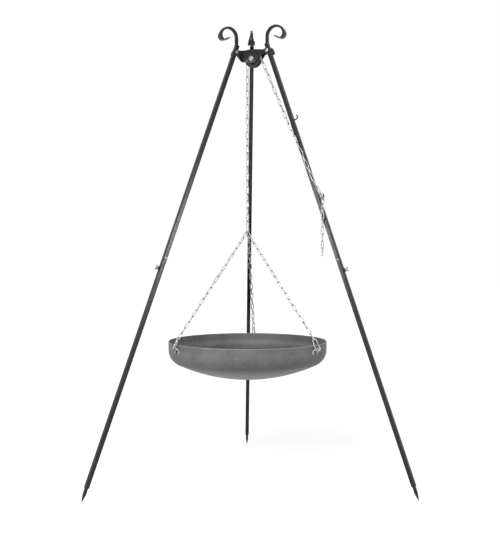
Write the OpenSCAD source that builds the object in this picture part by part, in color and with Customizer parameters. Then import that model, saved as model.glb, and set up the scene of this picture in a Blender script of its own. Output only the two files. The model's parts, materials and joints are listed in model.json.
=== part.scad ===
// Outdoor fire pit: a dished steel bowl hung by chains and snap hooks from a folding tripod
// Millimetres, +Z up, viewer towards -Y; the ground is z = 0

/* [Tripod] */
// Radius of the circle that the three spikes stand on
foot_circle_r = 680; // [660:1:700]
// Height of the leg pivots above the ground
pivot_h = 1614; // [1600:1:1640]
// Outer width of the square leg tube
tube_w = 15; // [14.5:0.5:15.5]
// Wall of the square leg tube
tube_wall = 1.5; // [1.4:0.1:1.6]
// Tube above the leg pivot
tube_top = 27; // [25:1:30]
// Pivot to the lower end of the upper tube
upper_len = 846; // [820:1:870]
// Side of the square bar of spikes and scrolls
bar_w = 10; // [9:0.5:10.5]
// Spike standing out of the lower tube
spike_out = 48; // [40:1:60]
// Radius of the blunt spike tip
tip_r = 2; // [1.5:0.5:3]

/* [Leg joint] */
// Length of the inner spigot
spigot_len = 200; // [160:5:240]
// Clearance between the spigot and the tube bore
spigot_gap = 0.1; // [0.05:0.05:0.2]
// Distance of the rivet above the leg joint
rivet_up = 22; // [18:1:30]
// Distance of the wing screw below the leg joint
screw_down = 22; // [18:1:30]
// Radius of the wing screw thread
screw_r = 3; // [2.5:0.5:3]

/* [Head] */
// Clear width between the two cheeks
cheek_gap = 22; // [21:0.5:23]
// Thickness of the cheek plates
cheek_t = 4; // [3.5:0.5:5]
// Bowl axis to the right leg pivot
right_pivot_reach = 93; // [90:1:96]
// Axle below the leg pivots
axle_drop = 26; // [24:1:27]
// Radius of the pivot bolts
pivot_bolt_r = 4; // [3.5:0.5:4]
// Radius of the wheel axle
axle_r = 5; // [4.5:0.5:5.5]
// Radial clearance of the turning pins
pin_gap = 0.07; // [0.04:0.01:0.09]
// Outer radius of the chain wheel
wheel_r = 32; // [31:0.5:33]

/* [Chain] */
// Radius of the chain wire
wire_r = 1.5; // [1.4:0.1:1.5]
// Inner length of a link
link_in = 26; // [26:1:26]
// Outer width of a link
link_w = 12; // [12:0.5:12]
// Play between neighbouring links
link_play = 0.12; // [0.1:0.01:0.14]
// Links that hang from the wheel to the hoist snap hook
hoist_links = 23; // [21:2:23]
// Links from the wheel to the lower chain hook
run_links = 23; // [21:2:23]
// Links left hanging below the lower chain hook
tail_links = 8; // [4:1:10]
// Links in each bowl chain
bowl_links = 19; // [19:2:19]

/* [Chain hooks] */
// Pivot to the upper chain hook along the right leg
upper_hook_down = 283; // [260:1:300]
// Radius of the hook rod
hook_r = 2.4; // [2.3:0.1:2.4]
// Reach of the hook rod beyond the leg axis
hook_reach = 26; // [25:1:28]

/* [Snap hooks] */
// Radius of the snap hook wire
snap_r = 2.25; // [2:0.05:2.25]
// Radius of the snap hook's wide end, at the wire centre
snap_low_r = 8.5; // [8.5:0.1:9]
// Radius of the snap hook's narrow end, at the wire centre
snap_top_r = 6.5; // [6.3:0.1:7]
// Distance between the centres of both ends
snap_mid = 30.5; // [30:0.5:32]

/* [Bowl] */
// Outer radius of the bowl
bowl_r = 300; // [295:1:302]
// Depth of the bowl outside
bowl_depth = 144; // [138:1:150]
// Sheet thickness of the bowl
bowl_t = 2.5; // [2:0.5:3]
// Outer radius of the dished bottom
dish_r = 637; // [630:1:660]
// Outer radius of the curve between wall and bottom
knuckle_r = 58; // [52:1:64]
// Radius of the lug rod
lug_r = 2.5; // [2:0.25:2.5]
// Half distance between the feet of a lug
lug_half = 14.5; // [13:0.5:15]
// Lug crown beyond the bowl wall
lug_out = 14.5; // [14:0.1:15.5]
// Lug crown below the rim
lug_below = 11; // [10.5:0.5:12]
// Lower ends of the lug feet below the rim
lug_down = 32; // [30:1:36]

/* [Hidden] */
$fn = 64;

steel_black = [0.13, 0.13, 0.13];
steel_dark = [0.2, 0.19, 0.18];
zinc = [0.72, 0.73, 0.75];

function unit(v) = v / norm(v);
function flat(v) = [v.x, v.y];
function meet(p1, d1, p2, d2) = p1 + d1 * cross(p2 - p1, d2) / cross(d1, d2);
function direction(az) = [cos(az), sin(az)];
function square_to(v, d) = unit(v - (v * d) * d);

// The bounding box of the three spikes is centred on the origin
shift = [0, -foot_circle_r / 4];
axis_xy = [-5.5, 7.9] + shift;
feet = [for (az = [210, 330, 90]) foot_circle_r * direction(az) + shift];
wheel_az = atan2(feet[1].y - axis_xy.y, feet[1].x - axis_xy.x);
wheel_u = direction(wheel_az);
wheel_v = direction(wheel_az + 90);
pivots = [
    [-53, 5] + shift,
    axis_xy + right_pivot_reach * wheel_u,
    [12, 45] + shift
];
drop = pivot_h - tip_r;
leg_az = [for (i = [0:2]) atan2(feet[i].y - pivots[i].y, feet[i].x - pivots[i].x)];
reach = [for (i = [0:2]) norm(feet[i] - pivots[i])];
splay = [for (i = [0:2]) atan2(reach[i], drop)];
leg_len = [for (i = [0:2]) norm([reach[i], drop])];

half_w = tube_w / 2;
bore_w = tube_w - 2 * tube_wall;
spigot_w = bore_w - 2 * spigot_gap;
joint_gap = 0.3;
washer_t = 1;
wing_in = half_w + washer_t + 0.1;
wing_out = wing_in + cheek_t;
cheek_in = cheek_gap / 2;
cheek_out = cheek_in + cheek_t;

pitch = link_in - link_play;
crown_r = link_w / 2 - wire_r;
link_hole = crown_r - wire_r;
half_straight = link_in / 2 - link_hole;
wire_play = 0.1;
end_play = 0.3;

// Links lie and stand by turns round the wheel; both end on the circle turn_r
lying_half = 13.05;
standing_half = 11.45;
lying_r = 26.86;
turn_r = norm([lying_r, lying_half]);
standing_r = sqrt(turn_r * turn_r - standing_half * standing_half);
turn = asin(lying_half / turn_r) + asin(standing_half / turn_r);
wheel_z = pivot_h - axle_drop;
wheel_pz = [lying_r, -axle_drop];
last_angle = 180 - 3 * turn;
run_start = wheel_pz + standing_r * direction(last_angle)
    + 12.9 * [sin(last_angle), -cos(last_angle)];

// The run leaves the wheel plane, passes in front of the right leg and comes back to the hook
run_front = -(half_w + link_w / 2 + 0.3);
run_t1 = 266;
run_back = 65;
hook_y = -(half_w - hook_r);
run_end_q = hook_y + 1.2;
run_total = run_links * pitch;
run_a = norm([run_t1, run_front]);
run_b = run_total - run_a - run_back;
run_t2 = run_t1 + run_b;
run_t3 = run_t2 + sqrt(run_back * run_back - (run_end_q - run_front) * (run_end_q - run_front));
hook_back = 2 * wire_r + hook_r + 0.5;
hook_link_x = 18.5;
hook_t = run_t3 - hook_back;
run_leg_x = (run_start.x - right_pivot_reach) * cos(splay[1]) + run_start.y * sin(splay[1]);
run_leg_z = -(run_start.x - right_pivot_reach) * sin(splay[1]) + run_start.y * cos(splay[1]);
lower_hook_down = sqrt(hook_t * hook_t - (hook_link_x - run_leg_x) * (hook_link_x - run_leg_x))
    - run_leg_z;
hook_pz = [
    right_pivot_reach + hook_link_x * cos(splay[1]) + lower_hook_down * sin(splay[1]),
    hook_link_x * sin(splay[1]) - lower_hook_down * cos(splay[1])
];
run_dir = unit(hook_pz - run_start);

// Hoist snap hook below the fall; the bowl rim follows from the chain lengths
end_reach = half_straight + link_hole - snap_r - end_play;
hoist_snap_z = wheel_z - hoist_links * pitch - end_reach - snap_mid - snap_top_r;
bar_az = 60;
bar_dir = [cos(bar_az), sin(bar_az), 0];
bowl_az = [211, 323.5, 84.5];
bar_angle = [-40, 0, 40];
snap_lean = [25, 26, 25];
snap_turn = [40, 40, 40];
chain_span = 2 * end_reach + (bowl_links - 1) * pitch;
hang = [for (i = [0:2])
    [axis_xy.x, axis_xy.y, hoist_snap_z]
    + snap_low_r * (sin(bar_angle[i]) * bar_dir - [0, 0, cos(bar_angle[i])])];
function out_of(i) = [cos(bowl_az[i]), sin(bowl_az[i]), 0];
function along_of(i) = [-sin(bowl_az[i]), cos(bowl_az[i]), 0];
function snap_z(i) = -sin(snap_lean[i]) * out_of(i) + [0, 0, cos(snap_lean[i])];
function snap_x(i) =
    cos(snap_turn[i]) * (cos(snap_lean[i]) * out_of(i) + [0, 0, sin(snap_lean[i])])
    + sin(snap_turn[i]) * along_of(i);

lug_foot_x = sqrt(bowl_r * bowl_r - lug_half * lug_half) + lug_r + 0.1;
bow_lean = asin((lug_out + bowl_r - lug_foot_x) / lug_half);
lug_bend_z = -lug_below - lug_half * cos(bow_lean);

// Height of a snap hook's wide end above the lug crown, with its wire just clear of the rod
seat = snap_r + lug_r + wire_play;
function bow_offset(i, t) =
    lug_half * cos(t) * along_of(i)
    + lug_half * (sin(t) - 1) * (sin(bow_lean) * out_of(i) + [0, 0, cos(bow_lean)]);
function seat_room(w, z) = seat * seat - (w * w - (w * z) * (w * z));
function seat_height(i) = min([
    for (t = [30:3:150], a = [190:4:350])
        let (z = snap_z(i), w = bow_offset(i, t) - snap_low_r * (cos(a) * snap_x(i) + sin(a) * z))
        if (seat_room(w, z) > 0) w * z - sqrt(seat_room(w, z))
]);
bow_to_top = [for (i = [0:2]) seat_height(i) + snap_mid + snap_top_r];
top_out = [for (i = [0:2]) bowl_r + lug_out - bow_to_top[i] * sin(snap_lean[i])];
top_xy = [for (i = [0:2]) axis_xy + top_out[i] * direction(bowl_az[i])];
left_flat = norm(top_xy[0] - flat(hang[0]));
rim_z = hang[0].z - sqrt(chain_span * chain_span - left_flat * left_flat)
    + lug_below - bow_to_top[0] * cos(snap_lean[0]);
snap_top = [for (i = [0:2])
    [top_xy[i].x, top_xy[i].y, rim_z - lug_below + bow_to_top[i] * cos(snap_lean[i])]];

module at_leg(i) {
    translate([pivots[i].x, pivots[i].y, pivot_h])
        rotate([0, 0, leg_az[i]])
            children();
}

module along_leg(i) {
    at_leg(i)
        rotate([0, -splay[i], 0])
            children();
}

// x runs from the bowl axis towards the right leg, z from the pivot height
module at_wheel() {
    translate([axis_xy.x, axis_xy.y, pivot_h])
        rotate([0, 0, wheel_az])
            children();
}

module at_bowl() {
    translate([axis_xy.x, axis_xy.y, rim_z])
        children();
}

module frame_to(origin, x, y, z) {
    multmatrix([
        [x.x, y.x, z.x, origin.x],
        [x.y, y.y, z.y, origin.y],
        [x.z, y.z, z.z, origin.z],
        [0, 0, 0, 1]
    ])
        children();
}

module rounded_square(w, r) {
    square([w, w - 2 * r], center = true);
    square([w - 2 * r, w], center = true);
    for (x = [-1, 1], y = [-1, 1])
        translate([x * (w / 2 - r), y * (w / 2 - r)])
            circle(r);
}

module square_tube(w, wall, low, high, r) {
    difference() {
        translate([0, 0, low])
            linear_extrude(high - low)
                rounded_square(w, r);
        translate([0, 0, low - 1])
            linear_extrude(high - low + 2)
                square(w - 2 * wall, center = true);
    }
}

module square_bar(w, low, high) {
    translate([-w / 2, -w / 2, low])
        cube([w, w, high - low]);
}

// Cylinder along y from y0 to y1
module pin_y(r, y0, y1) {
    translate([0, y1, 0])
        rotate([90, 0, 0])
            cylinder(r = r, h = y1 - y0);
}

// Cylinder along x from x0 to x1
module pin_x(r, x0, x1) {
    translate([x0, 0, 0])
        rotate([0, 90, 0])
            cylinder(r = r, h = x1 - x0);
}

// Plate standing in the x-z plane between y0 and y1
module plate_y(y0, y1) {
    translate([0, y1, 0])
        rotate([90, 0, 0])
            linear_extrude(y1 - y0)
                children();
}

// One chain link, its length along x and flat in the x-y plane
module link() {
    for (s = [0, 180])
        rotate([0, 0, s])
            translate([half_straight, 0, 0])
                rotate([0, 0, -90])
                    rotate_extrude(angle = 180)
                        translate([crown_r, 0])
                            circle(wire_r, $fn = 24);
    for (y = [-crown_r, crown_r])
        translate([-half_straight, y, 0])
            rotate([0, 90, 0])
                cylinder(r = wire_r, h = 2 * half_straight, $fn = 24);
}

module link_at(c, d, n) {
    frame_to(c, d, cross(n, d), n)
        link();
}

// ---- legs

module upper_tube(i) {
    along_leg(i)
        difference() {
            square_tube(tube_w, tube_wall, -upper_len, tube_top, 1.5);
            pin_y(pivot_bolt_r + pin_gap, -tube_w, tube_w);
            translate([0, 0, -upper_len + rivet_up])
                pin_y(2.45, -tube_w, tube_w);
        }
}

scroll_c = [27.8, 53];
scroll_r = 40.7;
curl_at = 16;
curl_r = 18.5;
curl_c = scroll_c + (scroll_r - curl_r) * direction(curl_at);

module scroll_bend(low_angle) {
    intersection() {
        difference() {
            translate(scroll_c)
                circle(scroll_r);
            translate(scroll_c + [1.5, 0])
                circle(scroll_r - 8.5);
        }
        translate(scroll_c)
            polygon([
                [0, 0], 80 * direction(low_angle), [80, 80], [-80, 80],
                low_angle > 20 ? [80, 80] : [-80, 0]
            ]);
    }
}

module scroll_end() {
    intersection() {
        difference() {
            translate(scroll_c)
                circle(scroll_r);
            translate(scroll_c + [1.5, 0])
                circle(scroll_r - 8.5);
        }
        translate(scroll_c)
            polygon([[0, 0], 80 * direction(curl_at), 80 * direction(45)]);
    }
    intersection() {
        difference() {
            translate(curl_c)
                circle(curl_r);
            translate(curl_c + 1.685 * direction(-137))
                circle(curl_r - 5.5);
        }
        translate(curl_c)
            polygon([[0, 0], 60 * direction(curl_at + 3), [60, -60], 60 * direction(-110)]);
    }
    polygon([
        curl_c + curl_r * direction(-110), curl_c + curl_r * direction(-104),
        curl_c + (curl_r - 3.8) * direction(-104), curl_c + (curl_r - 4) * direction(-110),
        [29.4, 55.2], [27, 52.2]
    ]);
}

// Square bar that stands out of the tube and curls outwards to a flat fish tail
module scroll(i) {
    along_leg(i) {
        square_bar(spigot_w, pivot_bolt_r + 0.6, tube_top);
        translate([-half_w, -half_w, tube_top])
            cube([tube_w, tube_w, 2.5]);
    }
    at_leg(i) {
        difference() {
            plate_y(-bar_w / 2, bar_w / 2)
                translate([scroll_c.x - scroll_r + 0.02, 20])
                    square([bar_w - 0.04, scroll_c.y - 20 + 0.6]);
            rotate([0, -splay[i], 0])
                translate([-30, -30, tube_top - 60 + 0.01])
                    cube([60, 60, 60]);
        }
        plate_y(-bar_w / 2, bar_w / 2)
            scroll_bend(curl_at);
        intersection() {
            plate_y(-20, 20)
                scroll_end();
            translate([10, 0, 0])
                rotate([90, 0, 90])
                    linear_extrude(80)
                        polygon([
                            [-5, 84], [5, 84], [5, 80], [9.5, 66], [12.4, 54], [13.4, 44],
                            [13.4, 36], [-13.4, 36], [-13.4, 44], [-12.4, 54], [-9.5, 66], [-5, 80]
                        ]);
        }
    }
}

module spigot(i) {
    along_leg(i)
        difference() {
            square_tube(spigot_w, 1.6, -upper_len - spigot_len / 2, -upper_len + spigot_len / 2, 1);
            translate([0, 0, -upper_len + rivet_up])
                pin_y(2.45, -tube_w, tube_w);
        }
}

module rivet(i) {
    along_leg(i)
        translate([0, 0, -upper_len + rivet_up]) {
            pin_y(2.4, -half_w - 0.05, half_w + 0.05);
            for (s = [0, 180])
                rotate([0, 0, s])
                    translate([0, half_w + 0.02, 0])
                        rotate([-90, 0, 0])
                            cylinder(r1 = 4.4, r2 = 2.6, h = 2);
        }
}

module lower_tube(i) {
    along_leg(i)
        difference() {
            square_tube(tube_w, tube_wall, -leg_len[i] + spike_out, -upper_len - joint_gap, 1.5);
            translate([0, 0, -upper_len - screw_down])
                pin_x(screw_r + 0.3, 0, tube_w);
        }
}

module spike(i) {
    along_leg(i) {
        square_bar(spigot_w, -leg_len[i] + spike_out, -leg_len[i] + spike_out + 40);
        square_bar(bar_w, -leg_len[i] + 25, -leg_len[i] + spike_out);
        translate([0, 0, -leg_len[i]]) {
            rotate([0, 0, 45])
                cylinder(r1 = 1.3 * sqrt(2), r2 = bar_w / 2 * sqrt(2), h = 25, $fn = 4);
            sphere(tip_r);
        }
    }
}

module clamp_nut(i) {
    along_leg(i)
        translate([half_w, 0, -upper_len - screw_down])
            rotate([0, 90, 0])
                difference() {
                    cylinder(r = 6.9, h = 5.5, $fn = 6);
                    translate([0, 0, -1])
                        cylinder(r = screw_r + 0.05, h = 8);
                }
}

module wing_screw(i) {
    along_leg(i)
        translate([0, 0, -upper_len - screw_down]) {
            pin_x(screw_r, spigot_w / 2 + 0.1, 16.5);
            pin_x(4.2, 14, 18.5);
            translate([18.5, 0, 0])
                rotate([0, 90, 0])
                    cylinder(r1 = 4.2, r2 = 3, h = 1.5);
            for (s = [-1, 1])
                plate_y(-1.1, 1.1) {
                    translate([21.3, s * 5.6])
                        circle(3.4);
                    polygon([[14.6, 0], [14.6, s * 3.2], [18.7, s * 7.6], [24, s * 3.9], [18.8, 0]]);
                }
        }
}

// Upturned rod hooks on the outer face of the right leg
module chain_hooks() {
    for (down = [upper_hook_down, lower_hook_down])
        along_leg(1)
            translate([0, hook_y, -down]) {
                pin_x(hook_r, half_w, hook_reach - 4);
                translate([hook_reach - 4, 0, 4])
                    rotate([90, 0, 0])
                        rotate([0, 0, -90])
                            rotate_extrude(angle = 90)
                                translate([4, 0])
                                    circle(hook_r);
                translate([hook_reach, 0, 4])
                    cylinder(r = hook_r, h = 9);
                translate([hook_reach, 0, 13])
                    sphere(hook_r);
            }
}

// ---- head

front_bend_out = meet(axis_xy - cheek_out * wheel_v, wheel_u,
    pivots[0] + wing_out * direction(leg_az[0] + 90), direction(leg_az[0]));
front_bend_in = meet(axis_xy - cheek_in * wheel_v, wheel_u,
    pivots[0] + wing_in * direction(leg_az[0] + 90), direction(leg_az[0]));
rear_bend_out = meet(axis_xy + cheek_in * wheel_v, wheel_u,
    pivots[2] + wing_out * direction(leg_az[2] + 90), direction(leg_az[2]));
rear_bend_in = meet(axis_xy + cheek_out * wheel_v, wheel_u,
    pivots[2] + wing_in * direction(leg_az[2] + 90), direction(leg_az[2]));
eye_r = 12.5;
plate_room = 60;

// Round end of a plate about a leg pivot, with the lobe that carries the stop
module plate_eye() {
    circle(eye_r);
    translate([10.8, -8.2])
        circle(6.5);
    polygon([[0, 0], [11.1, 5.5], [16.5, -5.4], [9.5, -14.4], [-2.3, -12.1]]);
}

// Block outside the leg, which the spread leg rests against
module leg_stop(i, y0, y1) {
    along_leg(i)
        translate([half_w + 0.3, y0, -15.5])
            cube([4, y1 - y0, 6]);
}

module eye_hole(r) {
    pin_y(r, -60, 60);
}

module wing(i, bend_in, bend_out) {
    outward = direction(leg_az[i]);
    s_in = (bend_in - pivots[i]) * outward;
    s_out = (bend_out - pivots[i]) * outward;
    from_in = s_in < s_out ? s_in - 1 : s_in + 0.4;
    from_out = s_in < s_out ? s_out + 0.4 : s_out - 1;
    at_leg(i)
        difference() {
            intersection() {
                translate([0, 0, -plate_room])
                    linear_extrude(1.5 * plate_room)
                        polygon([[from_in, wing_in], [40, wing_in], [40, wing_out], [from_out, wing_out]]);
                plate_y(0, 30) {
                    polygon([[-40, 7], [-40, -50], [s_out, -30.5], [-3, -15.5], [0, 0], [0, 8]]);
                    plate_eye();
                }
            }
            eye_hole(pivot_bolt_r + 0.05);
        }
}

module right_arm() {
    translate([right_pivot_reach, 0])
        plate_eye();
    polygon([[74, -10], [74, 4.5], [84, 8], [right_pivot_reach, eye_r], [right_pivot_reach, -eye_r]]);
}

module cheek_holes() {
    translate([lying_r, 0, -axle_drop])
        pin_y(axle_r + 0.05, -60, 60);
    translate([right_pivot_reach, 0, 0])
        pin_y(pivot_bolt_r + 0.05, -60, 60);
}

module front_cheek() color(steel_black) {
    p_in = (front_bend_in - axis_xy) * wheel_u;
    p_out = (front_bend_out - axis_xy) * wheel_u;
    at_wheel()
        difference() {
            intersection() {
                translate([0, 0, -plate_room])
                    linear_extrude(1.5 * plate_room)
                        polygon([[p_out, -cheek_out], [130, -cheek_out], [130, -cheek_in], [p_in, -cheek_in]]);
                plate_y(-30, 0) {
                    polygon([
                        [-30, 7], [2, 7], [14, 9], [50, 7.5], [75, 4.5], [76, -13], [62, -13.8],
                        [56, -22], [50, -31], [44, -37], [36, -40.5], [24, -41.8], [12, -40],
                        [2, -37.6], [-13.6, -37.4], [p_out, -33], [-30, -22]
                    ]);
                    right_arm();
                }
            }
            cheek_holes();
        }
    wing(0, front_bend_in, front_bend_out);
    leg_stop(0, -5, wing_in + 1.5);
    leg_stop(1, -cheek_in - 1.5, 6);
}

module rear_cheek() color(steel_black) {
    p_in = (rear_bend_in - axis_xy) * wheel_u;
    p_out = (rear_bend_out - axis_xy) * wheel_u;
    at_wheel()
        difference() {
            intersection() {
                translate([0, 0, -plate_room])
                    linear_extrude(1.5 * plate_room)
                        polygon([[p_out, cheek_in], [130, cheek_in], [130, cheek_out], [p_in, cheek_out]]);
                plate_y(0, 30) {
                    polygon([
                        [-10, 7], [14, 9], [50, 7.5], [75, 4.5], [76, -13], [70, -11.4],
                        [57, -30], [48, -38.5], [36, -41], [24, -41], [10, -38], [-10, -32]
                    ]);
                    right_arm();
                }
            }
            cheek_holes();
        }
    wing(2, rear_bend_in, rear_bend_out);
    leg_stop(2, -5, wing_in + 1.5);
}

// Hexagon bolt along y with its head ending at y0 and its thread at y1
module bolt_y(r, hex_r, head_h, y0, y1) {
    pin_y(r, y0 - 1, y1);
    translate([0, y0, 0])
        rotate([90, 0, 0])
            rotate([0, 0, 90])
                cylinder(r = hex_r, h = head_h, $fn = 6);
}

module nut_y(r, hex_r, h, y0) {
    difference() {
        translate([0, y0 + h, 0])
            rotate([90, 0, 0])
                cylinder(r = hex_r, h = h, $fn = 6);
        pin_y(r + 0.05, y0 - 1, y0 + h + 1);
    }
}

module washer_y(r_in, r_out, y0, y1) {
    difference() {
        pin_y(r_out, y0, y1);
        pin_y(r_in, y0 - 1, y1 + 1);
    }
}

module axle_bolt() color(zinc) {
    at_wheel()
        translate([lying_r, 0, -axle_drop]) {
            bolt_y(axle_r, 9.8, 6.4, -cheek_out - 1.6, cheek_out + 12);
            washer_y(axle_r - 0.2, 10, -cheek_out - 1.6, -cheek_out);
        }
}

module axle_nut() color(zinc) {
    at_wheel()
        translate([lying_r, 0, -axle_drop]) {
            washer_y(axle_r + 0.05, 10, cheek_out, cheek_out + 1.6);
            nut_y(axle_r, 9.8, 8, cheek_out + 1.6);
        }
}

module pivot_bolts() color(zinc) {
    for (i = [0, 2])
        at_leg(i)
            mirror([0, 1, 0])
                bolt_y(pivot_bolt_r, 7.2, 5.3, -wing_out, half_w + washer_t + 9);
    at_leg(1)
        bolt_y(pivot_bolt_r, 7.2, 5.3, -cheek_out, cheek_out + 9);
}

module pivot_nuts() color(zinc) {
    for (i = [0, 2])
        at_leg(i)
            mirror([0, 1, 0])
                nut_y(pivot_bolt_r, 7.2, 6.5, half_w + washer_t + 0.1);
    at_leg(1)
        nut_y(pivot_bolt_r, 7.2, 6.5, cheek_out);
}

module pivot_spacers() color(zinc) {
    hole = pivot_bolt_r + 0.05;
    for (i = [0, 2])
        at_leg(i) {
            washer_y(hole, 8, half_w + 0.1, wing_in);
            washer_y(hole, 8, -half_w - washer_t - 0.1, -half_w - 0.1);
        }
    at_leg(1) {
        washer_y(hole, 8, -cheek_in, -half_w - 0.1);
        washer_y(hole, 8, half_w + 0.1, cheek_in);
    }
}

// Chain wheel with a hub and a groove that holds lying and standing links
module pulley_wheel() color(steel_dark) {
    at_wheel()
        translate([lying_r, 0, -axle_drop])
            rotate([90, 0, 0])
                difference() {
                    rotate_extrude($fn = 96)
                        polygon([
                            [0, -cheek_in + 0.3], [10, -cheek_in + 0.3], [10, -8], [17, -8],
                            [20, -9.6], [wheel_r, -9.6], [wheel_r, -8.5], [26.1, -6.3],
                            [21.3, -1.6], [21.3, 1.6], [26.1, 6.3], [wheel_r, 8.5],
                            [wheel_r, 9.6], [20, 9.6], [17, 8], [10, 8],
                            [10, cheek_in - 0.3], [0, cheek_in - 0.3]
                        ]);
                    cylinder(r = axle_r + pin_gap, h = 60, center = true);
                }
}

// ---- chains

module hoist_wrap_chain() color(zinc) {
    at_wheel()
        for (j = [0:3]) {
            a = 180 - j * turn;
            r = j % 2 == 0 ? lying_r : standing_r;
            out = [cos(a), 0, sin(a)];
            link_at([wheel_pz.x, 0, wheel_pz.y] + r * out, [sin(a), 0, -cos(a)],
                j % 2 == 0 ? out : [0, 1, 0]);
        }
}

function run_point(s) =
    s < run_a ? [s * run_t1 / run_a, s * run_front / run_a]
    : s < run_a + run_b ? [run_t1 + s - run_a, run_front]
    : [run_t2, run_front] + (s - run_a - run_b)
        * [run_t3 - run_t2, run_end_q - run_front] / run_back;
function run_place(s) =
    let (tq = run_point(s))
    [run_start.x + tq[0] * run_dir.x, tq[1], run_start.y + tq[0] * run_dir.y];

module run_link(k) {
    a = run_place(k * pitch);
    b = run_place((k + 1) * pitch);
    d = unit(b - a);
    beside = [run_dir.y, 0, -run_dir.x];
    link_at((a + b) / 2, d, square_to(k % 2 == 0 ? beside : [0, 1, 0], d));
}

module hoist_run_chain() color(zinc) {
    at_wheel()
        for (k = [0:run_links - 1])
            run_link(k);
}

run_last = unit(run_place(run_total) - run_place(run_total - pitch));
run_last_c = (run_place(run_total) + run_place(run_total - pitch)) / 2;
tail_dir = unit([0.1, -0.4, -0.9]);
tail_hook = run_last_c + half_straight * run_last;
tail_c0 = tail_hook + 5 * unit(run_last + tail_dir) + half_straight * tail_dir;
tail_down = [0, 0, -1];
tail_c1 = tail_c0 + half_straight * tail_dir + 5.4 * unit(tail_dir + tail_down)
    + half_straight * tail_down;

module hoist_tail_chain() color(zinc) {
    at_wheel() {
        link_at(tail_c0, tail_dir, square_to([0, 1, 0], tail_dir));
        for (k = [0:tail_links - 2])
            link_at(tail_c1 + k * pitch * tail_down, tail_down, k % 2 == 0 ? [1, 0, 0] : [0, 1, 0]);
    }
}

module fall_link(k) {
    at_wheel()
        link_at([0, 0, -axle_drop - k * pitch], [0, 0, -1], k % 2 == 0 ? [1, 0, 0] : [0, 1, 0]);
}

module hoist_fall_chain() color(zinc) {
    for (k = [1:hoist_links - 1])
        fall_link(k);
}

module hoist_end_link() color(zinc) {
    fall_link(hoist_links);
}

module bowl_chain(i) {
    span = snap_top[i] - hang[i];
    d = unit(span);
    step = (norm(span) - 2 * end_reach) / (bowl_links - 1);
    bar = cos(bar_angle[i]) * bar_dir + [0, 0, sin(bar_angle[i])];
    e1 = square_to(bar, d);
    e2 = cross(d, e1);
    last = square_to(snap_x(i), d);
    a = atan2(last * e2, last * e1);
    extra = a > 90 ? a - 180 : a < -90 ? a + 180 : a;
    for (k = [0:bowl_links - 1]) {
        t = k * (90 + extra / (bowl_links - 1));
        link_at(hang[i] + (end_reach + k * step) * d, d, cos(t) * e1 + sin(t) * e2);
    }
}

// ---- snap hooks

side_lean = asin((snap_low_r - snap_top_r) / snap_mid);
side_len = snap_mid * cos(side_lean);

// z along the straight side opposite the spine, from the wide end's tangent point
module on_side() {
    translate([snap_low_r * cos(side_lean), 0, snap_low_r * sin(side_lean)])
        rotate([0, -side_lean, 0])
            children();
}

module arc_y(r, from, to) {
    rotate([90, 0, 0])
        rotate([0, 0, from])
            rotate_extrude(angle = to - from)
                translate([r, 0])
                    circle(snap_r, $fn = 32);
}

// Wide end round the origin, narrow end above it, gate on the +x side
module snap_body() {
    difference() {
        union() {
            arc_y(snap_low_r, 180 - side_lean, 360 + side_lean);
            translate([0, 0, snap_mid])
                arc_y(snap_top_r, side_lean, 180 - side_lean);
            mirror([1, 0, 0])
                on_side()
                    translate([0, 0, -0.6])
                        cylinder(r = snap_r - 0.08, h = side_len + 1.2, $fn = 32);
            on_side() {
                translate([0, 0, -0.6])
                    cylinder(r = snap_r - 0.08, h = 4.3, $fn = 32);
                translate([-1.6, -0.7, 3.6])
                    cube([3.2, 1.4, 3.4]);
                translate([0, 0, 25.6])
                    cylinder(r = snap_r - 0.08, h = side_len - 25, $fn = 32);
                plate_y(-0.8, 0.8) {
                    translate([0, 22.9])
                        circle(1.9);
                    translate([-1.9, 22.9])
                        square([3.8, 3]);
                }
            }
        }
        on_side()
            translate([0, 0, 22.9])
                pin_y(0.88, -5, 5);
    }
}

module snap_gate_body() {
    on_side() {
        difference() {
            union() {
                translate([0, 0, 4.1])
                    cylinder(r = 2.05, h = 18.8, $fn = 32);
                translate([0, 0, 22.9])
                    pin_y(2.05, -2, 2);
            }
            translate([-5, -1, 18.6])
                cube([10, 2, 10]);
            translate([-5, -1, 4])
                cube([10, 2, 3.4]);
        }
        translate([0, 0, 22.9])
            pin_y(0.8, -1.9, 1.9);
    }
}

module at_hoist_snap() {
    x = -bar_dir;
    frame_to([axis_xy.x, axis_xy.y, hoist_snap_z], x, cross([0, 0, 1], x), [0, 0, 1])
        children();
}

module at_snap(i) {
    z = snap_z(i);
    x = snap_x(i);
    frame_to(snap_top[i] - (snap_mid + snap_top_r) * z, x, cross(z, x), z)
        children();
}

// ---- bowl

dish_z = dish_r - bowl_depth;
knuckle_x = bowl_r - knuckle_r;
knuckle_z = dish_z - sqrt((dish_r - knuckle_r) * (dish_r - knuckle_r) - knuckle_x * knuckle_x);

// Half section that a bowl skin at depth t fills, up to z = top
module bowl_half(t, top) {
    translate([0, knuckle_z])
        square([bowl_r - t, top - knuckle_z]);
    intersection() {
        translate([knuckle_x, knuckle_z])
            circle(knuckle_r - t, $fn = 128);
        translate([0, -bowl_r])
            square([bowl_r, bowl_r]);
    }
    intersection() {
        translate([0, dish_z])
            circle(dish_r - t, $fn = 720);
        polygon([
            [0, dish_z], [0, -2 * bowl_r],
            [0, dish_z] + 2 * dish_r * unit([knuckle_x, knuckle_z - dish_z])
        ]);
    }
}

module bowl() color(steel_dark) {
    at_bowl()
        rotate_extrude($fn = 180)
            difference() {
                bowl_half(0, 0);
                bowl_half(bowl_t, 1);
            }
}

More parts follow.
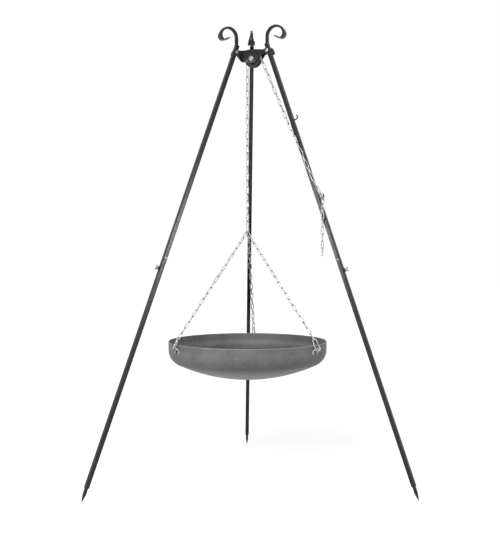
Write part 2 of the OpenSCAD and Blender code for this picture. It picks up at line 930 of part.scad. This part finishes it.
// Bent rod staples on the outside of the wall
module bowl_lugs() color(zinc) {
    at_bowl()
        for (az = bowl_az)
            rotate([0, 0, az]) {
                for (y = [-lug_half, lug_half]) {
                    translate([lug_foot_x, y, -lug_down])
                        cylinder(r = lug_r, h = lug_down + lug_bend_z);
                    translate([lug_foot_x, y, lug_bend_z])
                        sphere(lug_r + 0.12);
                }
                frame_to([lug_foot_x, 0, lug_bend_z], [0, 1, 0],
                    [sin(bow_lean), 0, cos(bow_lean)], [cos(bow_lean), 0, -sin(bow_lean)])
                    rotate_extrude(angle = 180)
                        translate([lug_half, 0])
                            circle(lug_r);
            }
}

// ---- named pieces

module left_upper_tube() color(steel_black) upper_tube(0);
module right_upper_tube() color(steel_black) upper_tube(1);
module rear_upper_tube() color(steel_black) upper_tube(2);
module left_scroll() color(steel_black) scroll(0);
module right_scroll() color(steel_black) scroll(1);
module rear_scroll() color(steel_black) scroll(2);
module left_spigot() color(steel_dark) spigot(0);
module right_spigot() color(steel_dark) spigot(1);
module rear_spigot() color(steel_dark) spigot(2);
module left_rivet() color(zinc) rivet(0);
module right_rivet() color(zinc) rivet(1);
module rear_rivet() color(zinc) rivet(2);
module left_lower_tube() color(steel_black) lower_tube(0);
module right_lower_tube() color(steel_black) lower_tube(1);
module rear_lower_tube() color(steel_black) lower_tube(2);
module left_spike() color(steel_black) spike(0);
module right_spike() color(steel_black) spike(1);
module rear_spike() color(steel_black) spike(2);
module left_clamp_nut() color(steel_dark) clamp_nut(0);
module right_clamp_nut() color(steel_dark) clamp_nut(1);
module rear_clamp_nut() color(steel_dark) clamp_nut(2);
module left_wing_screw() color(zinc) wing_screw(0);
module right_wing_screw() color(zinc) wing_screw(1);
module rear_wing_screw() color(zinc) wing_screw(2);
module hoist_snap_hook() color(zinc) at_hoist_snap() snap_body();
module hoist_snap_gate() color(zinc) at_hoist_snap() snap_gate_body();
module left_snap_hook() color(zinc) at_snap(0) snap_body();
module left_snap_gate() color(zinc) at_snap(0) snap_gate_body();
module right_snap_hook() color(zinc) at_snap(1) snap_body();
module right_snap_gate() color(zinc) at_snap(1) snap_gate_body();
module rear_snap_hook() color(zinc) at_snap(2) snap_body();
module rear_snap_gate() color(zinc) at_snap(2) snap_gate_body();
module left_bowl_chain() color(zinc) bowl_chain(0);
module right_bowl_chain() color(zinc) bowl_chain(1);
module rear_bowl_chain() color(zinc) bowl_chain(2);

front_cheek();
rear_cheek();
axle_bolt();
axle_nut();
pivot_bolts();
pivot_nuts();
pivot_spacers();
pulley_wheel();
hoist_wrap_chain();
left_upper_tube();
left_scroll();
left_spigot();
left_rivet();
right_upper_tube();
right_scroll();
right_spigot();
right_rivet();
chain_hooks();
rear_upper_tube();
rear_scroll();
rear_spigot();
rear_rivet();
left_lower_tube();
left_spike();
left_clamp_nut();
left_wing_screw();
right_lower_tube();
right_spike();
right_clamp_nut();
right_wing_screw();
rear_lower_tube();
rear_spike();
rear_clamp_nut();
rear_wing_screw();
hoist_run_chain();
hoist_tail_chain();
hoist_fall_chain();
hoist_end_link();
hoist_snap_hook();
hoist_snap_gate();
left_snap_hook();
left_snap_gate();
right_snap_hook();
right_snap_gate();
rear_snap_hook();
rear_snap_gate();
left_bowl_chain();
right_bowl_chain();
rear_bowl_chain();
bowl();
bowl_lugs();
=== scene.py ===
import json
import math

import bmesh
import bpy
from mathutils import Matrix, Vector


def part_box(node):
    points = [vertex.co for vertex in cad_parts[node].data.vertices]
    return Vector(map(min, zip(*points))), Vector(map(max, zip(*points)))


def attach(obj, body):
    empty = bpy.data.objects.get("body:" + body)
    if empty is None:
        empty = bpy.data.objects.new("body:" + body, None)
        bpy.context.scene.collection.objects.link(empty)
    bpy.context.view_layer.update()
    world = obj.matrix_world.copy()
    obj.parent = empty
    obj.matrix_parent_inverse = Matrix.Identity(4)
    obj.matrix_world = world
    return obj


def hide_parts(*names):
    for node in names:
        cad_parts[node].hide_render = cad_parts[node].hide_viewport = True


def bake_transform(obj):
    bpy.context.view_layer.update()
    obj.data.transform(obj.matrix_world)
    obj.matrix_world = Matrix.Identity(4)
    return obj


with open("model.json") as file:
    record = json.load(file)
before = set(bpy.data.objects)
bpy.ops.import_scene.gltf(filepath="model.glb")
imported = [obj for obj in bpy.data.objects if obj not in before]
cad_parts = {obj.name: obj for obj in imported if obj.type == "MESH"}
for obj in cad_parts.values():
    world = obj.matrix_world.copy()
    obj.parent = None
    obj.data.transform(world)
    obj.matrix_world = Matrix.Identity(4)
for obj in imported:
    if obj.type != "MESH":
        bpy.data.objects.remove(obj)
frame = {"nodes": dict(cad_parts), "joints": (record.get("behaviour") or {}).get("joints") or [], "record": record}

scene = bpy.context.scene
mm = 0.001
sides = ("left", "right", "rear")


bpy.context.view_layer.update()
joints = {joint["name"]: joint for joint in frame["joints"]}
print("fire pit: packed frame loaded,", len(frame["nodes"]), "nodes")


# camera

cameraSet = {"place": (-0.0586, -4.282, 0.9557), "pitch": 0.0387, "yaw": 0.0152, "roll": 0.0007,
             "lens": 78.32, "sensor": 36, "reach": 100}

cameraData = bpy.data.cameras.new("studioCamera")
cameraData.lens = cameraSet["lens"]
cameraData.sensor_width = cameraSet["sensor"]
cameraData.sensor_fit = "HORIZONTAL"
cameraData.clip_end = cameraSet["reach"]
camera = bpy.data.objects.new("studioCamera", cameraData)
camera.location = cameraSet["place"]
camera.rotation_euler = (math.pi / 2 - cameraSet["pitch"], cameraSet["roll"], -cameraSet["yaw"])
scene.collection.objects.link(camera)
scene.camera = camera
scene.view_settings.view_transform = "Standard"
print("fire pit: camera placed")


# material nodes

mixSockets = {"first": 6, "second": 7, "result": 2}  # where a mix node has its colours


def newMaterial(name, color, metal, roughness, gloss):
    material = bpy.data.materials.new(name)
    material.use_nodes = True
    shader = material.node_tree.nodes["Principled BSDF"]
    shader.inputs["Base Color"].default_value = (*color, 1)
    shader.inputs["Metallic"].default_value = metal
    shader.inputs["Roughness"].default_value = roughness
    shader.inputs["Specular IOR Level"].default_value = gloss
    return material, shader


def addNode(material, kind, **values):
    # values are input sockets where the node has one of that name, and else its own settings
    node = material.node_tree.nodes.new(kind)
    for name, value in values.items():
        if name in node.inputs:
            node.inputs[name].default_value = value
        else:
            setattr(node, name, value)
    return node


def join(material, source, target):
    material.node_tree.links.new(source, target)


def objectPoint(material, centre=(0, 0, 0), scale=(1, 1, 1)):
    coords = addNode(material, "ShaderNodeTexCoord")
    shift = tuple(-c * s for c, s in zip(centre, scale))
    mapping = addNode(material, "ShaderNodeMapping", Location=shift, Scale=scale)
    join(material, coords.outputs["Object"], mapping.inputs["Vector"])
    return mapping.outputs["Vector"]


def noise(material, point, scale, detail, roughness=0.55):
    node = addNode(material, "ShaderNodeTexNoise", Scale=scale, Detail=detail, Roughness=roughness)
    join(material, point, node.inputs["Vector"])
    return node.outputs["Fac"]


def spread(material, value, low, high, fromLow=0.3, fromHigh=0.7):
    node = addNode(material, "ShaderNodeMapRange")
    node.inputs["From Min"].default_value = fromLow
    node.inputs["From Max"].default_value = fromHigh
    node.inputs["To Min"].default_value = low
    node.inputs["To Max"].default_value = high
    join(material, value, node.inputs["Value"])
    return node.outputs["Result"]


def blendColors(material, fac, dark, light):
    node = addNode(material, "ShaderNodeMix", data_type="RGBA")
    node.inputs[mixSockets["first"]].default_value = (*dark, 1)
    node.inputs[mixSockets["second"]].default_value = (*light, 1)
    join(material, fac, node.inputs["Factor"])
    return node.outputs[mixSockets["result"]]


def scaleAndAdd(material, value, factor, base):
    node = addNode(material, "ShaderNodeMath", operation="MULTIPLY_ADD")
    join(material, value, node.inputs[0])
    node.inputs[1].default_value = factor
    join(material, base, node.inputs[2])
    return node.outputs[0]


def bump(material, shader, height, strength, distance):
    node = addNode(material, "ShaderNodeBump", Strength=strength, Distance=distance)
    join(material, height, node.inputs["Height"])
    join(material, node.outputs["Normal"], shader.inputs["Normal"])


# finishes

# patches, dulling and grain are a noise scale and its detail, relief a bump strength and its distance
blackFinish = {"dark": (0.005, 0.005, 0.0052), "light": (0.01, 0.01, 0.0103), "metal": 0.0, "gloss": 0.3,
               "rough": (0.2, 0.29), "patches": (26, 5), "contrast": (0.3, 0.7), "dulling": (90, 3),
               "grain": (700, 3), "relief": (0.06, 0.0003)}
darkFinish = {"dark": (0.008, 0.008, 0.008), "light": (0.02, 0.0198, 0.0196), "metal": 0.1, "gloss": 0.3,
              "rough": (0.36, 0.56), "patches": (60, 5), "contrast": (0.3, 0.7), "dulling": (130, 3),
              "grain": (450, 4), "relief": (0.25, 0.0004)}
chainFinish = {"dark": (0.24, 0.242, 0.248), "light": (0.44, 0.445, 0.455), "metal": 1.0, "gloss": 0.5,
               "rough": (0.32, 0.46), "patches": (55, 3), "contrast": (0.38, 0.62), "dulling": (160, 3),
               "grain": (300, 3), "relief": (0.2, 0.0002)}
boltFinish = {"dark": (0.14, 0.141, 0.145), "light": (0.36, 0.364, 0.372), "metal": 1.0, "gloss": 0.5,
              "rough": (0.32, 0.52), "patches": (120, 3), "contrast": (0.38, 0.62), "dulling": (160, 3),
              "grain": (420, 3), "relief": (0.2, 0.0002)}


def coatedSteel(name, look):
    # paint, casting skin or plating, with lighter and with duller patches
    material, shader = newMaterial(name, look["dark"], look["metal"], look["rough"][1], look["gloss"])
    point = objectPoint(material)
    patches = spread(material, noise(material, point, *look["patches"]), 0, 1, *look["contrast"])
    join(material, blendColors(material, patches, look["dark"], look["light"]), shader.inputs["Base Color"])
    dulling = spread(material, noise(material, point, *look["dulling"]), *look["rough"])
    join(material, dulling, shader.inputs["Roughness"])
    bump(material, shader, noise(material, point, *look["grain"]), *look["relief"])
    return material


# the bowl's bands of painted reflection and painted shade are (height from 0 at its bottom to 1 at its rim, tone)
bowlFinish = {"dark": (0.1, 0.1, 0.102), "light": (0.18, 0.18, 0.183), "metal": 0.1, "gloss": 0.15,
              "rough": (0.46, 0.62), "clouds": (5.5, 6, 0.6), "flecks": (60, 4), "fleckShare": 0.35,
              "contrast": (0.45, 0.9), "rings": 70, "ringWobble": 0.6, "ringDetail": 2, "ringShare": 0.12,
              "grain": (260, 4), "relief": (0.12, 0.0004),
              # outer bands: a lighter bottom of painted reflection, a darker middle of painted shade, a lighter
              # upper band of painted reflection, then lighter at the rim
              "outer": ((0.01, 1.9), (0.2, 1.75), (0.34, 1.25), (0.48, 0.88), (0.62, 0.95), (0.78, 1.12),
                        (0.985, 1.0), (0.992, 2.1)),
              # inner bands: a darker band of painted shade below a lighter band of painted highlight, then lighter
              # at the rim
              "inner": ((0.3, 1.0), (0.56, 0.8), (0.66, 1.0), (0.72, 1.55), (0.78, 1.55), (0.86, 1.05),
                        (0.985, 0.95), (0.992, 2.1))}


# tones of painted reflection and painted shade, stepped by height
def paintedLightTones(material, height, paintedBands):
    ramp = addNode(material, "ShaderNodeValToRGB")
    stops = ramp.color_ramp.elements
    for place, tone in paintedBands:
        stop = stops.new(place)
        stop.color = (tone, tone, tone, 1)
    stops.remove(stops[-1])
    stops.remove(stops[0])
    join(material, height, ramp.inputs["Fac"])
    return ramp.outputs["Color"]


def innerFaces(material, axisPoint):
    # 1 on faces that look at the upright axis, 0 on those that look away
    coords = addNode(material, "ShaderNodeTexCoord")
    facing = addNode(material, "ShaderNodeVectorMath", operation="DOT_PRODUCT")
    join(material, objectPoint(material, axisPoint, (1, 1, 0)), facing.inputs[0])
    join(material, coords.outputs["Normal"], facing.inputs[1])
    inner = addNode(material, "ShaderNodeMath", operation="LESS_THAN")
    inner.inputs[1].default_value = 0
    join(material, facing.outputs["Value"], inner.inputs[0])
    return inner.outputs[0]


# painted reflection and painted shade by height, with one set of bands outside and one inside
def paintedLightBands(material, point, rimPoint, depth):
    apart = addNode(material, "ShaderNodeSeparateXYZ")
    join(material, point, apart.inputs["Vector"])
    height = spread(material, apart.outputs["Z"], 0, 1, -depth, 0)
    paintedBands = addNode(material, "ShaderNodeMix", data_type="RGBA")
    join(material, innerFaces(material, rimPoint), paintedBands.inputs["Factor"])
    join(material, paintedLightTones(material, height, bowlFinish["outer"]), paintedBands.inputs[mixSockets["first"]])
    join(material, paintedLightTones(material, height, bowlFinish["inner"]), paintedBands.inputs[mixSockets["second"]])
    return paintedBands.outputs[mixSockets["result"]]


def bowlSteel(rimPoint, depth):
    # pressed sheet: cloudy, with spinning rings, bands of painted reflection and painted shade on both faces, and
    # lighter at the rim
    look = bowlFinish
    material, shader = newMaterial("rawPressedSteelPaintedLight", look["dark"], look["metal"], look["rough"][1],
                                   look["gloss"])
    point = objectPoint(material, rimPoint)
    clouds = noise(material, point, *look["clouds"])
    mottled = scaleAndAdd(material, noise(material, point, *look["flecks"]), look["fleckShare"], clouds)
    patches = spread(material, mottled, 0, 1, *look["contrast"])
    cloudy = blendColors(material, patches, look["dark"], look["light"])
    # the cloudy tone times the bands of painted reflection and painted shade
    cloudyPaintedLight = addNode(material, "ShaderNodeMix", data_type="RGBA", blend_type="MULTIPLY")
    cloudyPaintedLight.inputs["Factor"].default_value = 1
    join(material, cloudy, cloudyPaintedLight.inputs[mixSockets["first"]])
    join(material, paintedLightBands(material, point, rimPoint, depth), cloudyPaintedLight.inputs[mixSockets["second"]])
    join(material, cloudyPaintedLight.outputs[mixSockets["result"]], shader.inputs["Base Color"])
    join(material, spread(material, clouds, *look["rough"]), shader.inputs["Roughness"])
    rings = addNode(material, "ShaderNodeTexWave", wave_type="RINGS", rings_direction="Z",
                    Scale=look["rings"], Distortion=look["ringWobble"], Detail=look["ringDetail"])
    join(material, point, rings.inputs["Vector"])
    grain = noise(material, point, *look["grain"])
    relief = scaleAndAdd(material, rings.outputs["Fac"], look["ringShare"], grain)
    bump(material, shader, relief, *look["relief"])
    return material


bowlLow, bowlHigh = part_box("bowl")
bowlAxis = Vector(((bowlLow.x + bowlHigh.x) / 2, (bowlLow.y + bowlHigh.y) / 2, 0))
finishes = {
    "black_steel": coatedSteel("satinBlackPaint", blackFinish),
    "dark_steel": coatedSteel("castDarkSteel", darkFinish),
    "zinc_steel": coatedSteel("zincPlatedChain", chainFinish),
    "raw_steel": bowlSteel(bowlAxis + Vector((0, 0, bowlHigh.z)), bowlHigh.z - bowlLow.z),
}
boltSteel = coatedSteel("dullPlatedBolt", boltFinish)
print("fire pit: materials made")


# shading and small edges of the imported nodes

def shadingGroup(angle):
    group = bpy.data.node_groups.new("roundShading", "GeometryNodeTree")
    group.interface.new_socket("Geometry", in_out="INPUT", socket_type="NodeSocketGeometry")
    group.interface.new_socket("Geometry", in_out="OUTPUT", socket_type="NodeSocketGeometry")
    start = group.nodes.new("NodeGroupInput")
    end = group.nodes.new("NodeGroupOutput")
    faces = group.nodes.new("GeometryNodeSetShadeSmooth")
    faces.domain = "FACE"
    edges = group.nodes.new("GeometryNodeSetShadeSmooth")
    edges.domain = "EDGE"
    edges.inputs["Shade Smooth"].default_value = False
    turn = group.nodes.new("GeometryNodeInputMeshEdgeAngle")
    sharper = group.nodes.new("FunctionNodeCompare")
    sharper.operation = "GREATER_THAN"
    sharper.inputs[1].default_value = angle
    group.links.new(start.outputs[0], faces.inputs["Geometry"])
    group.links.new(faces.outputs[0], edges.inputs["Geometry"])
    group.links.new(turn.outputs["Unsigned Angle"], sharper.inputs[0])
    group.links.new(sharper.outputs[0], edges.inputs["Selection"])
    group.links.new(edges.outputs[0], end.inputs[0])
    return group


# distances and widths in mm, and in degrees the angle from which an edge is softened or shaded sharp
edgeSet = {"merge": 0.004, "segments": 2, "softened": 40, "shadedSharp": 32}
edgeWidths = {"front_cheek": 0.6, "rear_cheek": 0.6, "axle_bolt": 0.5, "axle_nut": 0.5, "pivot_bolts": 0.4,
              "pivot_nuts": 0.4, "pulley_wheel": 0.5, "bowl": 0.5}
legEdgeWidths = {"scroll": 0.7, "spike": 0.6, "clamp_nut": 0.4, "wing_screw": 0.4}
edgeWidths.update({side + "_" + part: width for side in sides for part, width in legEdgeWidths.items()})
roundShading = shadingGroup(math.radians(edgeSet["shadedSharp"]))


def dress(node, material, edge):
    piece = frame["nodes"][node]
    piece.data.materials.clear()
    piece.data.materials.append(material)
    joined = piece.modifiers.new("join", "WELD")
    joined.merge_threshold = edgeSet["merge"] * mm
    if edge:
        soften = piece.modifiers.new("soften", "BEVEL")
        soften.width = edge * mm
        soften.segments = edgeSet["segments"]
        soften.limit_method = "ANGLE"
        soften.angle_limit = math.radians(edgeSet["softened"])
    smooth = piece.modifiers.new("shading", "NODES")
    smooth.node_group = roundShading


slotOf = {row["node"]: row["material_slot"] for row in frame["record"]["subparts"]}
boltNodes = ["axle_bolt", "axle_nut", "pivot_bolts", "pivot_nuts", "pivot_spacers"]
boltNodes += [side + "_" + part for side in sides for part in ("rivet", "wing_screw")]
for node in frame["nodes"]:
    dress(node, boltSteel if node in boltNodes else finishes[slotOf[node]], edgeWidths.get(node, 0))
print("fire pit: packed nodes dressed")


# new pieces and their places

facingOut = Matrix.Rotation(math.pi / 2, 4, "Y")  # turns z to x
facingSide = Matrix.Rotation(math.pi / 2, 4, "X")  # turns z to -y


def finish(mesh, name, body, slotName, material=None):
    # the mesh becomes a piece, which rides on the body if one is named
    bmesh.ops.recalc_face_normals(mesh, faces=mesh.faces)
    data = bpy.data.meshes.new(name)
    mesh.to_mesh(data)
    mesh.free()
    piece = bpy.data.objects.new(name, data)
    scene.collection.objects.link(piece)
    data.materials.append(material or finishes[slotName])
    smooth = piece.modifiers.new("shading", "NODES")
    smooth.node_group = roundShading
    if body:
        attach(piece, body)
    return piece


def legFrame(side):
    # x outwards, y sideways, z up the leg, from the pivot
    fold = joints[side + "_leg_fold"]
    up = -Vector(joints[side + "_lower_leg_pull"]["axis"])
    sideways = -Vector(fold["axis"])
    outwards = sideways.cross(up)
    turn = Matrix((outwards, sideways, up)).transposed().to_4x4()
    return Matrix.Translation(Vector(fold["pos_m"])) @ turn


def wheelFrame():
    # x from the bowl axis towards the right leg, y rearwards, from the wheel's middle
    wheel = joints["wheel_turn"]
    rearwards = Vector(wheel["axis"])
    towardsLeg = rearwards.cross(Vector((0, 0, 1)))
    turn = Matrix((towardsLeg, rearwards, Vector((0, 0, 1)))).transposed().to_4x4()
    return Matrix.Translation(Vector(wheel["pos_m"])) @ turn


legPlaces = {side: legFrame(side) for side in sides}


def heightsAlong(side, node):
    # a node's corners, as heights along its leg, lowest first
    inverse = legPlaces[side].inverted()
    return sorted((inverse @ vert.co).z for vert in frame["nodes"][node].data.vertices)


def screwHeight(side):
    return (legPlaces[side].inverted() @ Vector(joints[side + "_screw_turn"]["pos_m"])).z


# weld beads

# swell is the share that a lump stands out, and a higher blunt makes a strip's ends blunter
bead = {"ringFacets": 8, "ringSwell": 0.16, "ringFlat": 0.8, "stripFacets": 12, "stripSwell": 0.14,
        "blunt": 6, "stepsPerLump": 4}


def beadRing(mesh, place, ringRadius, wireRadius, lumps):
    # a bead laid round a rod: a small circle spun about the rod, with ripples
    before = set(mesh.verts)
    upright = Matrix.Translation((ringRadius, 0, 0)) @ facingSide
    circle = bmesh.ops.create_circle(mesh, segments=bead["ringFacets"], radius=wireRadius, matrix=upright)
    edges = list({edge for vert in circle["verts"] for edge in vert.link_edges})
    bmesh.ops.spin(mesh, geom=circle["verts"] + edges, cent=(0, 0, 0), axis=(0, 0, 1), angle=2 * math.pi,
                   steps=lumps * bead["stepsPerLump"], use_merge=True, use_duplicate=False)
    fresh = [vert for vert in mesh.verts if vert not in before]
    for vert in fresh:
        around = math.atan2(vert.co.y, vert.co.x)
        out = math.hypot(vert.co.x, vert.co.y)
        swell = 1 + bead["ringSwell"] * math.cos(lumps * around)
        vert.co.x += (out - ringRadius) * (swell - 1) * math.cos(around)
        vert.co.y += (out - ringRadius) * (swell - 1) * math.sin(around)
        vert.co.z *= swell * bead["ringFlat"]
    bmesh.ops.transform(mesh, matrix=place, verts=fresh)


def beadStrip(mesh, place, length, width, height, lumps):
    # a straight bead along x: a stretched ball with blunt ends and ripples
    made = bmesh.ops.create_uvsphere(mesh, u_segments=bead["stripFacets"], radius=1, matrix=facingOut,
                                     v_segments=lumps * bead["stepsPerLump"])
    for vert in made["verts"]:
        reach = vert.co.x
        swell = 1 + bead["stripSwell"] * math.cos(reach * lumps * math.pi)
        body = math.sqrt(max(0.0, 1 - abs(reach) ** bead["blunt"]))
        side = math.hypot(vert.co.y, vert.co.z) or 1
        vert.co.x = reach * length / 2
        vert.co.y = vert.co.y / side * body * swell * width / 2
        vert.co.z = vert.co.z / side * body * swell * height / 2
    bmesh.ops.transform(mesh, matrix=place, verts=made["verts"])


def squareBead(mesh, place, side, thickness, lumps):
    # four straight beads round a square bar
    for quarter in range(4):
        turn = Matrix.Rotation(quarter * math.pi / 2, 4, "Z")
        seat = place @ turn @ Matrix.Translation((0, side / 2, 0))
        beadStrip(mesh, seat, side, thickness, thickness, lumps)


weld = {
    "scrollBar": 13.6,  # mm, side of the square of beads round the scroll's bar
    "spikeBar": 11.2,  # mm, side of the square of beads round the spike's bar
    "bar": 1.4,  # mm, thickness of these beads
    "barLumps": 6,
    "face": 7.5,  # mm from the tube's middle to its outer face
    "nutRing": 6.9,  # mm, radius of the ring round the clamp nut
    "nut": 1.1,  # mm, radius of the bead in that ring
    "nutLumps": 14,
}

for side in sides:
    place = legPlaces[side]
    top = heightsAlong(side, side + "_upper_tube")[-1]
    mesh = bmesh.new()
    squareBead(mesh, place @ Matrix.Translation((0, 0, top)), weld["scrollBar"] * mm, weld["bar"] * mm,
               weld["barLumps"])
    finish(mesh, side + "ScrollWeld", side + "_leg", "black_steel")

    low = heightsAlong(side, side + "_lower_tube")[0]
    mesh = bmesh.new()
    squareBead(mesh, place @ Matrix.Translation((0, 0, low)), weld["spikeBar"] * mm, weld["bar"] * mm,
               weld["barLumps"])
    nutSeat = place @ Matrix.Translation((weld["face"] * mm, 0, screwHeight(side))) @ facingOut
    beadRing(mesh, nutSeat, weld["nutRing"] * mm, weld["nut"] * mm, weld["nutLumps"])
    finish(mesh, side + "LowerWelds", side + "_lower_leg", "black_steel")
print("fire pit: leg welds laid")


hook = {
    "rod": 2.4,  # mm, radius of the bent rod
    "side": -5.1,  # mm from the tube's middle to the rod's, sideways
    "bead": 1.0,  # mm, radius of the bead round the rod
    "lumps": 9,
}

# each of the two hooks is welded on where its rod is lowest
mesh = bmesh.new()
rodHeights = heightsAlong("right", "chain_hooks")
middle = (rodHeights[0] + rodHeights[-1]) / 2
for low in (rodHeights[0], next(height for height in rodHeights if height > middle)):
    seat = Matrix.Translation((weld["face"] * mm, hook["side"] * mm, low + hook["rod"] * mm)) @ facingOut
    beadRing(mesh, legPlaces["right"] @ seat, hook["rod"] * mm, hook["bead"] * mm, hook["lumps"])
finish(mesh, "hookWelds", "right_leg", "black_steel")


lug = {
    "around": (211, 323.5, 84.5),  # degrees round the bowl
    "half": 14.5,  # mm from the lug's middle to a leg of its rod
    "apart": 1.7,  # mm from that leg's middle to the bead on either side
    "proud": 0.5,  # mm from the bowl's wall to the bead's middle
    "bottom": 32,  # mm from the rim down to the bead's lower end
    "length": 14,
    "width": 2.4,
    "height": 2.2,
    "lumps": 5,
}

mesh = bmesh.new()
wallRadius = (bowlHigh.x - bowlLow.x) / 2
rimMiddle = Matrix.Translation((bowlAxis.x, bowlAxis.y, bowlHigh.z))
beadMiddle = -(lug["bottom"] - lug["length"] / 2) * mm
for degrees in lug["around"]:
    turn = rimMiddle @ Matrix.Rotation(math.radians(degrees), 4, "Z")
    for rodSide in (-lug["half"], lug["half"]):
        for offset in (-lug["apart"], lug["apart"]):
            across = (rodSide + offset) * mm
            out = math.sqrt(wallRadius ** 2 - across ** 2) + lug["proud"] * mm
            upright = Matrix.Translation((out, across, beadMiddle)) @ facingOut
            beadStrip(mesh, turn @ upright, lug["length"] * mm, lug["width"] * mm, lug["height"] * mm,
                      lug["lumps"])
finish(mesh, "lugWelds", "fire_bowl", "raw_steel")
print("fire pit: hook and lug welds laid")


# threads on the bolt ends

# in mm, and for each kind of bolt its radius and where its ridges start and end along it
thread = {"pitch": 1.0, "height": 0.3, "sunk": 0.2, "steps": 28, "pivot": (4, 15.2, 17),
          "rightPivot": (4, 21.6, 23.4), "axle": (5, 24.7, 26.4), "screw": (3, 13.1, 13.6)}


def threadRings(mesh, place, radius, start, end):
    # ridges round a bolt end along z, from a zigzag spun about it
    before = set(mesh.verts)
    points = []
    z = start
    while z < end:
        points.append(mesh.verts.new(((radius - thread["sunk"]) * mm, 0, z * mm)))
        points.append(mesh.verts.new(((radius + thread["height"]) * mm, 0, (z + thread["pitch"] / 2) * mm)))
        z += thread["pitch"]
    points.append(mesh.verts.new(((radius - thread["sunk"]) * mm, 0, z * mm)))
    edges = [mesh.edges.new(pair) for pair in zip(points, points[1:])]
    bmesh.ops.spin(mesh, geom=points + edges, cent=(0, 0, 0), axis=(0, 0, 1), angle=2 * math.pi,
                   steps=thread["steps"], use_merge=True, use_duplicate=False)
    fresh = [vert for vert in mesh.verts if vert not in before]
    bmesh.ops.transform(mesh, matrix=place, verts=fresh)


mesh = bmesh.new()
for side in ("left", "rear"):
    threadRings(mesh, legPlaces[side] @ facingSide, *thread["pivot"])
threadRings(mesh, legPlaces["right"] @ facingSide.inverted(), *thread["rightPivot"])
finish(mesh, "pivotThreads", "head", "zinc_steel", boltSteel)

mesh = bmesh.new()
threadRings(mesh, wheelFrame() @ facingSide.inverted(), *thread["axle"])
finish(mesh, "axleThread", "head", "zinc_steel", boltSteel)

for side in sides:
    mesh = bmesh.new()
    threadRings(mesh, legPlaces[side] @ Matrix.Translation((0, 0, screwHeight(side))) @ facingOut,
                *thread["screw"])
    finish(mesh, side + "ScrewThread", side + "_screw", "zinc_steel", boltSteel)
print("fire pit: threads cut")


# the chain between wheel and snap hook, which on the real fire pit lengthens with the hoist; here a merged copy of
# its packed node

mesh = bmesh.new()
mesh.from_mesh(frame["nodes"]["hoist_fall_chain"].data)
bmesh.ops.remove_doubles(mesh, verts=mesh.verts, dist=edgeSet["merge"] * mm)
fall = finish(mesh, "fallChain", None, "zinc_steel")
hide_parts("hoist_fall_chain")
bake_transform(fall)
print("fire pit: fall chain made")


# studio

# the floor's glow grows from glowStart to glowEnd, so that it is as white as the world far off and keeps
# the object's shadow near it
floorSet = {"size": 14.0, "tone": 0.86, "rough": 0.9, "gloss": 0.1, "glowNear": 0.5, "glowFar": 0.8,
            "glowStart": 0.9, "glowEnd": 4.5}
worldSet = {"seen": 1.0, "light": 0.28}
lamps = {
    "keyBox": {"at": (-1.35, -3.8, 2.9), "aim": (0, 0, 0.6), "size": (1.8, 1.6), "watts": 118},
    "leftBox": {"at": (-2.7, -2.12, 0.95), "aim": (0.3, -0.3, 0.95), "size": (0.58, 0.5), "watts": 23},
    "rightBox": {"at": (2.7, -2.12, 0.95), "aim": (-0.3, -0.3, 0.95), "size": (0.58, 0.5), "watts": 23},
    "topBox": {"at": (0.3, 0.4, 3.6), "aim": (0, 0, 0.6), "size": (1.6, 1.6), "watts": 24},
}


def seenDirectly(tree):
    # 1 for what the camera sees, also in gloss and through glass
    path = tree.nodes.new("ShaderNodeLightPath")
    value = path.outputs["Is Camera Ray"]
    for ray in ("Is Glossy Ray", "Is Transmission Ray"):
        larger = tree.nodes.new("ShaderNodeMath")
        larger.operation = "MAXIMUM"
        tree.links.new(value, larger.inputs[0])
        tree.links.new(path.outputs[ray], larger.inputs[1])
        value = larger.outputs[0]
    return value


def paleFloor():
    color = (floorSet["tone"],) * 3
    material, shader = newMaterial("paleFloor", color, 0.0, floorSet["rough"], floorSet["gloss"])
    shader.inputs["Emission Color"].default_value = (1, 1, 1, 1)
    reach = addNode(material, "ShaderNodeVectorMath", operation="LENGTH")
    join(material, objectPoint(material), reach.inputs[0])
    strength = spread(material, reach.outputs["Value"], floorSet["glowNear"], floorSet["glowFar"],
                      floorSet["glowStart"], floorSet["glowEnd"])
    glow = addNode(material, "ShaderNodeMath", operation="MULTIPLY")
    join(material, strength, glow.inputs[0])
    join(material, seenDirectly(material.node_tree), glow.inputs[1])
    join(material, glow.outputs[0], shader.inputs["Emission Strength"])
    return material


floorMesh = bmesh.new()
bmesh.ops.create_grid(floorMesh, x_segments=1, y_segments=1, size=floorSet["size"])
floorData = bpy.data.meshes.new("studioFloor")
floorMesh.to_mesh(floorData)
floorMesh.free()
floorData.materials.append(paleFloor())
floor = bpy.data.objects.new("studioFloor", floorData)
scene.collection.objects.link(floor)

world = bpy.data.worlds.new("studioWorld")
scene.world = world
world.use_nodes = True
background = world.node_tree.nodes["Background"]
background.inputs["Color"].default_value = (1, 1, 1, 1)
level = world.node_tree.nodes.new("ShaderNodeMapRange")
level.inputs["To Min"].default_value = worldSet["light"]
level.inputs["To Max"].default_value = worldSet["seen"]
world.node_tree.links.new(seenDirectly(world.node_tree), level.inputs["Value"])
world.node_tree.links.new(level.outputs["Result"], background.inputs["Strength"])

for name, box in lamps.items():
    lamp = bpy.data.lights.new(name, "AREA")
    lamp.shape = "RECTANGLE"
    lamp.size, lamp.size_y = box["size"]
    lamp.energy = box["watts"]
    holder = bpy.data.objects.new(name, lamp)
    holder.location = box["at"]
    beam = Vector(box["aim"]) - Vector(box["at"])
    holder.rotation_euler = beam.to_track_quat("-Z", "Y").to_euler()
    scene.collection.objects.link(holder)
print("fire pit: studio set")
